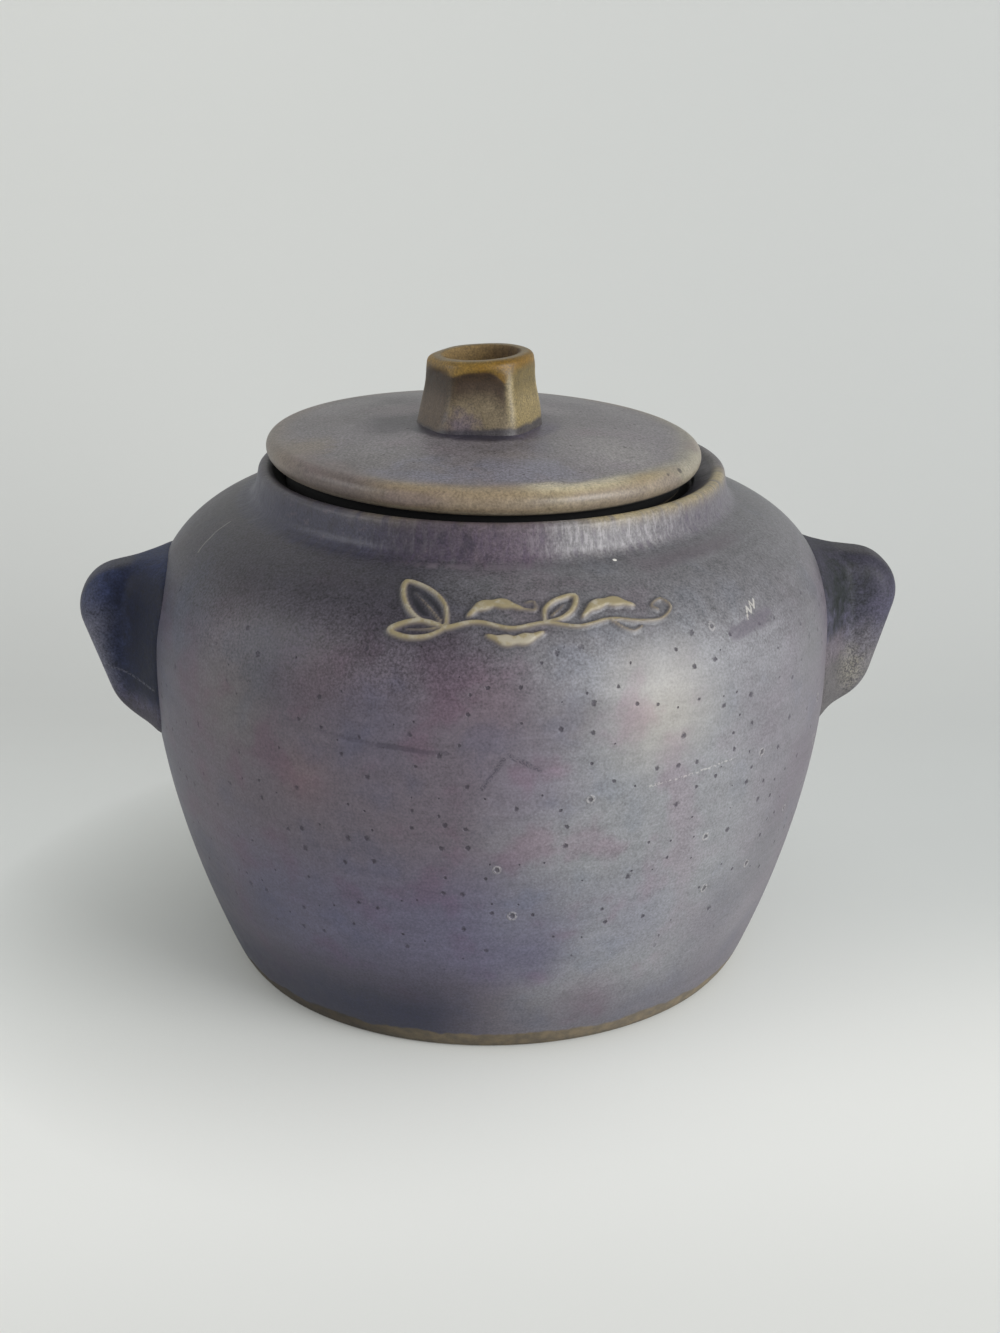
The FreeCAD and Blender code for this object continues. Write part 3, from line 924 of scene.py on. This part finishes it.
def potSection():
    lower, upper = wallCurves(0)
    recess, ringOuter = pot["footRecess"], pot["footRadius"]
    ringInner = ringOuter - pot["footRingWidth"]
    lip = pot["lipHeight"]
    ledge = lip - pot["ledgeDepth"]
    rounds = pot["footRounds"]
    under = [
        (0, recess),
        (ringInner - recess, recess, rounds[0]),
        (ringInner, 0, rounds[1]),
        (ringOuter, 0, rounds[2]),
        (*lower[0], rounds[3]),
        tuple(lower[pot["footEnd"]]),
    ]
    root = upper[-1] + polar(180 - pot["shoulderAngle"]) * pot["collarRootRun"]
    lipOut = root[0] - (lip - root[1]) * tangent(pot["collarLean"])
    lowerIn, upperIn = wallCurves(pot["wall"])
    run = upperIn[-1][0] - pot["throatRadius"]
    mouth = [
        tuple(upper[-1]),
        (*root, pot["collarRootRound"]),
        (lipOut, lip, pot["lipRound"]),
        (lipOut - pot["lipWidth"], lip, pot["lipInnerRound"]),
        (pot["riserRadius"], ledge + pot["riserHeight"], pot["seatRound"]),
        (pot["riserRadius"], ledge, pot["ledgeRound"]),
        (pot["throatRadius"], ledge, pot["throatRound"]),
        (pot["throatRadius"], upperIn[-1][1] + run * tangent(pot["shoulderAngle"]), pot["throatRound"]),
        tuple(upperIn[-1]),
    ]
    floorEdge = lowerIn[lowerIn[:, 1] > pot["floor"]][0]
    floor = [tuple(lowerIn[pot["floorEnd"]]), (*floorEdge, pot["floorRound"]), (0, pot["floor"])]
    split = int(np.searchsorted(upper[:, 1], pot["closeFrom"]))
    return joined(
        roundedPath(under, pot["footGap"]),
        respaced(lower[pot["footEnd"]:], pot["wallGap"]),
        respaced(upper[: split + 1], pot["bellyGap"]),
        respaced(upper[split:], pot["rowGap"]),
        roundedPath(mouth, pot["rowGap"]),
        respaced(upperIn[::-1], pot["insideGap"]),
        respaced(lowerIn[pot["floorEnd"]:][::-1], pot["insideLowGap"]),
        roundedPath(floor, pot["floorGap"]),
    )


def columnAngles():
    front = pot["frontSpread"]
    close = np.linspace(-front, front, int(2 * front / pot["frontGap"]) + 1)
    wide = np.linspace(front, 360 - front, int((360 - 2 * front) / pot["backGap"]) + 1)
    return np.radians(np.concatenate([close, wide[1:-1]]))


def settled(points):
    # the fired pot is not quite true: its mouth nods forward and sits to one side
    share = smoothStep(points[..., 2], *pot["settleHigh"]) * smoothStep(away(points), *pot["settleFrom"])
    out = points.copy()
    out[..., 0] += share * pot["rimShift"]
    out[..., 2] += share * points[..., 1] * tangent(pot["rimNod"])
    out[..., 2] -= share * points[..., 0] * tangent(pot["rimTilt"])
    return out


def rippled(points):
    # soft uneven places left by smoothing the wet clay, always inwards
    turn = np.arctan2(points[..., 0], -points[..., 1])
    height = points[..., 2]
    wave = sum(size * np.sin(times * turn + height / run + start) for times, run, start, size in pot["waves"])
    share = smoothStep(height, *pot["rippleLow"]) * (1 - smoothStep(height, *pot["rippleHigh"]))
    share = share * smoothStep(away(points), *pot["rippleFrom"])
    return pushed(points, -share * pot["ripple"] * (0.5 + wave / pot["waveSpan"]))


sprig = {
    "turn": 2.5,  # degrees, middle of the motif on the front of the shoulder
    "across": 81.0,  # radius at which its widths are laid out
    "low": 119.6,  # height of its lower edge
    "halfWidth": 40.0,
    "span": (-4.0, 22.0),  # up the wall from its lower edge
    "raise": 1.05,
    "slope": 58.0,  # degrees from level, of the way out of the wall
    "edge": (-0.25, 0.85),  # from outside a stroke to inside it, over which it rises from the wall
    "pool": (0.0, 1.2),  # off a stroke, over which the glaze in a leaf gets full
    "fade": 1.3,
    "gap": 0.35,  # between the points of a stroke
    "stem": [
        (-21, 3.2), (-14, 5.0), (-6, 3.4), (2, 4.6), (10, 3.2), (18, 4.4),
        (25, 3.0), (31, 2.6), (34.6, 5.2), (32.4, 8.0), (29.4, 6.6), (31.0, 5.2),
    ],
    "leaves": [
        [(-21, 3.2), (-21.5, 9.5), (-25.5, 14.2), (-31.5, 16.2), (-31.6, 10.5), (-28, 5.4), (-21, 3.2)],
        [(-21, 3.2), (-25.5, 4.6), (-30, 4.2), (-34.5, 1.6), (-30.5, 0.2), (-25.5, 0.8), (-21, 3.2)],
        [(2, 4.6), (2.4, 8.4), (5.4, 11.0), (10.2, 12.0), (9.4, 8.4), (6.4, 5.8), (2, 4.6)],
    ],
    "veins": [
        [(-22.5, 5.0), (-25.6, 9.0), (-28.8, 12.6)],
        [(-23.6, 2.8), (-30.6, 2.2)],
        [(4.0, 6.6), (7.2, 9.6)],
    ],
    "pods": [
        [(-16.2, 6.4), (-13.0, 9.4), (-8.0, 10.4), (-2.6, 8.6)],
        [(11.0, 5.4), (14.4, 8.4), (19.4, 9.2), (25.0, 7.2)],
        [(-12.0, 1.6), (-7.5, 0.2), (-2.5, 0.6), (1.6, 2.2)],
    ],
    "curls": [
        [(-2.6, 8.6), (0.2, 8.4), (0.0, 10.8), (-2.0, 10.6)],
        [(18, 4.4), (20.5, 2.0), (23.4, 0.6), (25.6, 1.4)],
    ],
}


def smoothLine(corners, gap):
    points = np.array(corners, float)
    ends = np.concatenate([[2 * points[0] - points[1]], points, [2 * points[-1] - points[-2]]])
    t = np.linspace(0, 1, 12, endpoint=False)[:, None]
    runs = []
    for a, b, c, d in zip(ends, ends[1:], ends[2:], ends[3:]):
        bend = (2 * a - 5 * b + 4 * c - d) * t ** 2 + (3 * b - 3 * c + d - a) * t ** 3
        runs.append(b + (c - a) * t / 2 + bend / 2)
    return respaced(np.concatenate(runs + [points[-1:]]), gap)


def strokes():
    # every stroke as points and half its width there
    def beans(s):
        swell = np.sin(math.pi * s)
        return 0.5 + 1.25 * swell ** 0.7 + 0.28 * np.cos(6 * math.pi * s) * swell

    kinds = [
        ([sprig["stem"]], lambda s: 1.0 - 0.45 * s),
        (sprig["leaves"], lambda s: 0.8 + 0.25 * np.sin(math.pi * s)),
        (sprig["veins"], lambda s: 0.6 - 0.25 * s),
        (sprig["curls"], lambda s: 0.65 - 0.15 * s),
        (sprig["pods"], beans),
    ]
    kept = []
    for lines, shape in kinds:
        for corners in lines:
            line = smoothLine(corners, sprig["gap"])
            kept.append(np.column_stack([line, shape(np.linspace(0, 1, len(line)))]))
    return np.concatenate(kept)


def sprigMarks(section, angles):
    # relief is 1 on top of a stroke and 0 off it, halo fades away from its foot, and pooled
    # is 1 inside a leaf
    around = section[:, 0]
    up = np.concatenate([[0], np.cumsum(np.linalg.norm(np.diff(section, axis=0), axis=1))])
    outside = np.arange(len(section)) < int(np.argmax(section[:, 1]))
    start = np.interp(sprig["low"], section[outside][:, 1], up[outside])
    across = np.degrees(np.arctan2(np.sin(angles), np.cos(angles))) - sprig["turn"]
    u = np.radians(across)[None] * (0.5 * around[:, None] + 0.5 * sprig["across"])
    v = (up - start)[:, None] + 0 * u
    near = outside[:, None] & (abs(u) < sprig["halfWidth"]) & (v > sprig["span"][0]) & (v < sprig["span"][1])
    wanted = np.stack([u[near], v[near]], 1)
    line = strokes()
    least = (np.linalg.norm(wanted[:, None, :] - line[None, :, :2], axis=2) - line[None, :, 2]).min(1)
    held = np.zeros(len(wanted))
    for loop in sprig["leaves"]:
        spokes = smoothLine(loop, 0.5)[None] - wanted[:, None]
        bearing = np.arctan2(spokes[..., 1], spokes[..., 0])
        swing = np.mod(np.diff(bearing, axis=1) + math.pi, 2 * math.pi) - math.pi
        held = np.maximum(held, abs(swing.sum(1)) > math.pi)
    relief, halo, pooled = np.zeros(u.shape), np.zeros(u.shape), np.zeros(u.shape)
    relief[near] = smoothStep(-least, *sprig["edge"])
    halo[near] = np.exp(-np.maximum(least, 0) / sprig["fade"])
    pooled[near] = held * smoothStep(least, *sprig["pool"])
    return relief, halo, pooled


def raised(points, relief):
    # out of the wall, which slopes inwards here
    out, up = polar(sprig["slope"]) * sprig["raise"]
    points = pushed(points, out * relief)
    points[..., 2] += up * relief
    return points


def rimMarks(section, angles):
    # lip is 1 on the outer edge of the mouth, inside is 1 from its inner edge down
    top = int(np.argmax(section[:, 1]))
    rows = np.arange(len(section))
    corner = section[top] * [1, 0] + [0, pot["lipHeight"]]
    lip = np.exp(-((np.linalg.norm(section - corner, axis=1) / pot["lipReach"]) ** 2))
    inside = np.where(rows > top, smoothStep(corner[0] - section[:, 0], *pot["lipInside"]), 0)
    inside[rows > top + pot["lipRows"]] = 1
    ones = np.ones((1, len(angles)))
    return lip[:, None] * ones, inside[:, None] * ones


section = potSection()
angles = columnAngles()
relief, halo, pooled = sprigMarks(section, angles)
lip, inside = rimMarks(section, angles)
grid = raised(rippled(turnedGrid(section, angles)), relief)
marks = {"relief": relief, "halo": halo, "pooled": pooled, "lip": lip, "inside": inside}
potBody = gridPiece("potBody", settled(grid), marks)
potBody.data.materials.append(potGlaze)
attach(potBody, "pot")
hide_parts("pot_body")
print("pot body:", len(section), "rows,", len(angles), "columns")


# Lugs

lug = {
    "voxel": 0.7,
    "buried": 0.05,  # how near the wall a point of the joint face lies
    "sink": 2.0,  # how far the joint face is carried into the wall
    "weld": 1e-6,  # metres
    "smoothing": 22,
    "dish": 0.03,  # share of the thickness pressed away in the middle of each face
    "dishCentre": (103.0, 93.0),
    "dishReach": (11.0, 24.0),
    "flare": 0.9,  # how much wider the root spreads along the wall
    "flareReach": (-1.0, 9.0),  # off the wall
}


def wallRadius(height):
    lower, upper = wallCurves(0)
    line = np.concatenate([lower, upper[1:]])
    return np.interp(height, line[:, 1], line[:, 0])


def readPlaces(mesh):
    places = np.empty(len(mesh.vertices) * 3, np.float32)
    mesh.vertices.foreach_get("co", places)
    return places.reshape(-1, 3).astype(float) / mm


def writePlaces(mesh, places):
    mesh.vertices.foreach_set("co", (places * mm).astype(np.float32).ravel())


def rounded(piece):
    # an even skin over the node's own shape, with its edges softened
    remesh = piece.modifiers.new("remesh", "REMESH")
    remesh.mode = "VOXEL"
    remesh.voxel_size = lug["voxel"] * mm
    smooth = piece.modifiers.new("smooth", "SMOOTH")
    smooth.factor = 0.5
    smooth.iterations = lug["smoothing"]
    bpy.context.view_layer.update()
    skin = bpy.data.meshes.new_from_object(piece.evaluated_get(bpy.context.evaluated_depsgraph_get()))
    piece.modifiers.clear()
    piece.data = skin
    return skin


def lugPiece(name, node):
    mesh = frame["nodes"][node].data.copy()
    mesh.materials.clear()
    piece = placed(name, mesh)
    places = readPlaces(mesh)
    buried = away(places) < wallRadius(places[:, 2]) + lug["buried"]
    writePlaces(mesh, pushed(places, -lug["sink"] * buried))
    reshaped(mesh, lambda shaped: bmesh.ops.remove_doubles(shaped, verts=shaped.verts, dist=lug["weld"]))
    skin = rounded(piece)
    places = readPlaces(skin)
    (alongCentre, upCentre), (alongReach, upReach) = lug["dishCentre"], lug["dishReach"]
    off = ((abs(places[:, 0]) - alongCentre) / alongReach) ** 2 + ((places[:, 2] - upCentre) / upReach) ** 2
    places[:, 1] *= 1 - lug["dish"] * smoothStep(1 - off, 0.0, 1.0)
    around = away(places)
    share = 1 - smoothStep(around - wallRadius(places[:, 2]), *lug["flareReach"])
    bearing = np.arctan2(places[:, 1], abs(places[:, 0])) * (1 + lug["flare"] * share)
    places[:, 0] = np.sign(places[:, 0]) * around * np.cos(bearing)
    places[:, 1] = around * np.sin(bearing)
    writePlaces(skin, places)
    skin.update()
    skin.shade_smooth()
    skin.materials.clear()
    skin.materials.append(lugGlaze)
    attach(piece, "pot")
    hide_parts(node)
    print(name, len(skin.polygons), "faces")


lugPiece("leftLug", "left_lug_handle")
lugPiece("rightLug", "right_lug_handle")


# Lid

lid = {
    "edgeRadius": 3.8,
    "radius": 59.7,
    "gap": 0.6,
    "rise": 3.3,
    "edgeSlope": 5.5,
    "topPull": 20.0,
    "plate": 6.6,
    "ringWidth": 6.0,
    "ringRound": 1.3,
    "ringRootRound": 2.0,
    "overhangRound": 1.0,
    "play": 1.6,
    "offset": -1.3,
    "tilt": 1.6,  # degrees, right side lower
    "nod": 0.8,  # degrees, front lower
    "rollOff": 0.6,  # how far the top rounds over before the edge
    "rollFrom": (40.0, 57.0),
    "lift": -0.05,
    "levelDepth": 5.0,  # below the lid's edge, from where the ring stays level
    "underGap": 1.2,  # between rows, here and below
    "edgeGap": 0.5,
    "topGap": 1.0,
    "columns": 260,
}
lidLow = pot["lipHeight"] + lid["gap"]
lidBase = lidLow + 2 * lid["edgeRadius"]
lidTop = lidBase + lid["rise"]


def lidSection():
    ledge = pot["lipHeight"] - pot["ledgeDepth"]
    centre = np.array([lid["radius"] - lid["edgeRadius"], lidLow + lid["edgeRadius"]])
    turn = np.radians(np.linspace(-90, 90 - lid["edgeSlope"], 24))
    edge = centre + lid["edgeRadius"] * np.stack([np.cos(turn), np.sin(turn)], 1)
    crown = np.array([0, lidTop])
    topPull = edge[-1] + polar(180 - lid["edgeSlope"]) * lid["topPull"]
    top = bezier([edge[-1], topPull, crown + [lid["topPull"], 0], crown], 120)
    for run in (edge, top):
        rise = np.clip((run[:, 1] - centre[1]) / lid["edgeRadius"], 0, 1)
        run[:, 1] -= lid["rollOff"] * rise * smoothStep(run[:, 0], *lid["rollFrom"])
    ringOut = pot["riserRadius"] - lid["play"]
    ringIn = ringOut - lid["ringWidth"]
    under = [
        (0, lidTop - lid["plate"]),
        (ringIn, lidTop - lid["plate"], lid["ringRootRound"]),
        (ringIn, ledge, lid["ringRound"]),
        (ringOut, ledge, lid["ringRound"]),
        (ringOut, lidLow, lid["overhangRound"]),
        tuple(edge[0]),
    ]
    under = roundedPath(under, lid["underGap"])
    return joined(under, respaced(edge, lid["edgeGap"]), respaced(top, lid["topGap"]))


def laidDown(points):
    # the ring below stays level on its ledge
    share = smoothStep(points[..., 2], lidLow - lid["levelDepth"], lidLow)
    out = points.copy()
    out[..., 2] -= share * points[..., 0] * tangent(lid["tilt"])
    out[..., 2] += share * (points[..., 1] * tangent(lid["nod"]) + lid["lift"])
    out[..., 0] += lid["offset"]
    return out


lidGrid = turnedGrid(lidSection(), np.linspace(0, 2 * math.pi, lid["columns"], endpoint=False))
lidDisc = gridPiece("lidDisc", laidDown(lidGrid))
lidDisc.data.materials.append(lidGlaze)
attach(lidDisc, "lid")
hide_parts("lid_disc")
print("lid made")


# Knob

knob = {
    "height": 19.8,
    "turn": -6.0,  # degrees, one flat is turned a little to the left of the front
    "uneven": (0, 5, 2, 0, -2, -1),  # degrees, hand-cut flats off their even places
    "ringRadius": 13.9,
    "ringRound": 2.0,
    "ringWall": 3.7,
    "shoulderAngle": 14.0,
    "footSpread": 3.1,
    "footAngle": 14.0,
    "footPull": 8.2,
    "archDrop": 2.3,
    "archSpread": 1.1,
    "archAngle": 50.0,
    "archPull": 5.3,
    "flatLean": 1.2,  # how fast the flats run out above their arches
    "bowlDepth": 14.0,
    "bowlTaper": 1.8,
    "bowlRound": 4.0,
    "bowlEdgeRound": 0.8,
    "bowlGap": 0.5,  # between the bowl's rows
    "ridgePower": 24.0,  # higher is sharper ridges
    "footPower": 11.0,
    "powerRise": (3.0, 11.0),  # above the foot, where the one goes over into the other
    "topTilt": 2.6,  # degrees, right side higher
    "topDrop": 1.0,
    "shift": -0.8,  # luted on a little left of the lid's middle
    "smear": 1.6,  # clay pressed out at the foot, front left
    "smearTurn": -63.0,
    "smearSpread": (0.72, 1.0),  # cosines of the angle from there
    "smearHeight": 10.0,
    "followHeight": 16.0,  # from here up the knob no longer follows the lid's tilt
    "rows": 70,
    "columns": 280,
}


def knobReach(heights, turn):
    # distance from the axis to the outside at each height and direction
    top = lidTop + knob["height"]
    foot = np.array([knob["ringRadius"] + knob["footSpread"], lidBase])
    arch = np.array([knob["ringRadius"] + knob["archSpread"], top - knob["archDrop"]])
    footPull = foot + polar(90 + knob["footAngle"]) * knob["footPull"]
    flat = bezier([foot, footPull, arch - polar(knob["archAngle"]) * knob["archPull"], arch], 80)
    flats = np.interp(heights, flat[:, 1], flat[:, 0])
    flats += np.maximum(heights - arch[1], 0) * knob["flatLean"]
    shoulder = knob["ringRadius"] + (top - heights) * tangent(knob["shoulderAngle"])
    sharper = smoothStep(heights - lidBase, *knob["powerRise"])
    power = knob["footPower"] + (knob["ridgePower"] - knob["footPower"]) * sharper
    total = shoulder ** -power
    for side, uneven in enumerate(knob["uneven"]):
        aim = side * 360 / len(knob["uneven"]) + knob["turn"] + uneven
        facing = np.cos(turn - math.radians(aim))  # flats that face away are put out of reach
        total = total + np.where(facing > 0.2, flats / np.maximum(facing, 0.2), 99.0) ** -power
    return total ** (-1 / power)


def knobGrid():
    ringRadius, ringRound = knob["ringRadius"], knob["ringRound"]
    top = lidTop + knob["height"] - knob["topDrop"]
    columns = np.linspace(0, 2 * math.pi, knob["columns"], endpoint=False)
    slope = tangent(knob["topTilt"])
    level = top + ringRadius * np.sin(columns) * slope
    share = np.linspace(0, 1, knob["rows"])[:, None]
    heights = lidBase + share * (level - ringRound - lidBase)
    beside = np.cos(columns - math.radians(knob["smearTurn"]))
    smear = smoothStep(beside, *knob["smearSpread"])
    smear = smear * (1 - smoothStep(heights - lidBase, 0.0, knob["smearHeight"]))
    radius = knobReach(heights, columns) + knob["smear"] * smear
    rows = [turned(radius, columns, heights)]
    for angle in np.radians(np.linspace(0, 90, 11))[1:]:
        ring = radius[-1:] - ringRound * (1 - math.cos(angle))
        rows.append(turned(ring, columns, level - ringRound * (1 - math.sin(angle))))
    bowlRadius = ringRadius - knob["ringWall"]
    bowl = [
        (ringRadius - ringRound - 0.2, 0),
        (bowlRadius, 0, knob["bowlEdgeRound"]),
        (bowlRadius - knob["bowlTaper"], -knob["bowlDepth"], knob["bowlRound"]),
        (0, -knob["bowlDepth"]),
    ]
    inside = turnedGrid(roundedPath(bowl, knob["bowlGap"]), columns)
    inside[..., 2] += top + inside[..., 0] * slope
    foot = turnedGrid(np.array([(0, lidBase), (ringRadius, lidBase)]), columns)
    return np.concatenate([foot] + rows + [inside])


def knobLaid(points):
    # the foot follows the lid, while the ring keeps its own level
    share = 1 - smoothStep(points[..., 2:] - lidBase, 0.0, knob["followHeight"])
    laid = laidDown(points) * share + (points + [lid["offset"], 0, 0]) * (1 - share)
    return laid + [knob["shift"], 0, 0]


lidKnob = gridPiece("lidKnob", knobLaid(knobGrid()))
lidKnob.data.materials.append(knobGlaze)
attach(lidKnob, "lid")
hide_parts("lid_knob")
print("knob made")


# Floor and backdrop

stage = {
    "front": -1.6,  # metres, here and to half
    "bend": 0.14,
    "round": 0.22,
    "top": 1.9,
    "half": 2.2,
    "paper": (208, 210, 206),
    "paperGrain": (205, 207, 203),
    "contact": 0.08,  # metres, how far off the pot still keeps the glow from the paper
    "towards": (0.72, -0.42, 0.55),  # the key lamp
    "glow": 0.55,  # how much of the painted glow the camera sees, in place of the lit paper
    "floorBack": (226, 229, 227),
    "floorFront": (254, 255, 252),
    "floorNear": (240, 241, 238),
    "wallLow": (215, 217, 215),
    "wallHigh": (225, 226, 223),
    "wallRight": (0.79, 0.8, 0.82, 1.0),
}


def paperFinish():
    paper = Finish("backdropPaper", stage)
    x, y, z = paper.x, paper.y, paper.z
    lit = {"Base Color": paper.layers("paper", ("paperGrain", paper.cloud(0.8, 2.0))), "Roughness": 0.9}
    # painted light and shade in the backdrop's glow: the floor brightens towards the front and dims again
    # nearest the camera, the wall brightens upwards, and the back right is darker
    floor = paper.layers("floorBack", ("floorFront", y.step(15, -115)), ("floorNear", y.step(-125, -200)))
    wall = paper.layers("wallLow", ("wallHigh", z.step(60, 520)))
    tone = paper.layers(floor, (wall, y.step(60, 200)))
    tone = paper.shade(tone, stage["wallRight"], x.step(-160, 330) * y.step(-80, 60))
    own = {"Base Color": (0, 0, 0, 1), "Specular IOR Level": 0.0}
    own.update({"Emission Strength": 1.0, "Emission Color": tone})
    rays = [paper.node("ShaderNodeLightPath", {}, {}, ray) for ray in ("Is Camera Ray", "Is Glossy Ray")]
    occluded = {"Distance": stage["contact"], "Normal": paper.vector(*stage["towards"])}
    free = paper.node("ShaderNodeAmbientOcclusion", {"samples": 12}, occluded, "AO")
    share = rays[0].most(rays[1]) * stage["glow"] * free ** 1.6
    sides = {0: share, 1: paper.surface(lit), 2: paper.surface(own)}
    shown = paper.node("ShaderNodeMixShader", {}, sides)
    behind = paper.node("ShaderNodeNewGeometry", {}, {}, "Backfacing")
    clear = paper.node("ShaderNodeBsdfTransparent", {}, {})
    return paper.close(paper.node("ShaderNodeMixShader", {}, {0: behind, 1: shown, 2: clear}))


def backdrop():
    curve = [(stage["front"], 0.0), (0.0, 0.0)]
    for angle in np.radians(np.linspace(0, 90, 24)):
        ahead, up = math.sin(angle), 1 - math.cos(angle)
        curve.append((stage["bend"] + stage["round"] * ahead, stage["round"] * up))
    curve.append((stage["bend"] + stage["round"], stage["top"]))
    places = [(side * stage["half"], y, z) for y, z in curve for side in (-1, 1)]
    faces = [(2 * k, 2 * k + 1, 2 * k + 3, 2 * k + 2) for k in range(len(curve) - 1)]
    mesh = bpy.data.meshes.new("studioFloor")
    mesh.from_pydata(places, [], faces)
    mesh.shade_smooth()
    mesh.materials.append(paperFinish())
    piece = placed("studioFloor", mesh)


backdrop()


# Light and camera

view = {
    "place": (-0.04393, -0.53776, 0.27446),  # metres
    "target": (0, 0, 0.08),  # of the lamps
    "heading": 5.0,  # degrees, turned towards +X
    "down": 19.68,
    "lens": 54.01,
    "sensor": 36.0,
    "nearest": 0.01,
    "sky": 0.27,
}


def lamp(name, place, size, power):
    light = bpy.data.lights.new(name, "AREA")
    light.shape = "RECTANGLE"
    light.size, light.size_y = size
    light.energy = power
    holder = placed(name, light)
    holder.location = place
    aim = np.array(view["target"]) - np.array(place)
    across = math.atan2(aim[0], aim[1])
    down = math.atan2(aim[2], math.hypot(aim[0], aim[1]))
    holder.rotation_euler = (math.pi / 2 + down, 0, -across)


world = bpy.data.worlds.new("studio")
bpy.context.scene.world = world
world.use_nodes = True
world.node_tree.nodes["Background"].inputs["Color"].default_value = (1, 1, 1, 1)
world.node_tree.nodes["Background"].inputs["Strength"].default_value = view["sky"]
lamp("keyLamp", (1.08, -0.95, 0.5), (0.85, 0.9), 21.0)
lamp("sideLamp", (-1.2, -0.25, 0.6), (0.8, 0.8), 5.0)

camera = bpy.data.cameras.new("camera")
camera.sensor_width = view["sensor"]
camera.lens = view["lens"]
camera.clip_start = view["nearest"]
eye = placed("camera", camera)
eye.location = view["place"]
eye.rotation_euler = (math.radians(90 - view["down"]), 0, -math.radians(view["heading"]))
bpy.context.scene.camera = eye
bpy.context.scene.view_settings.view_transform = "Standard"
print("stage, light and camera ready")
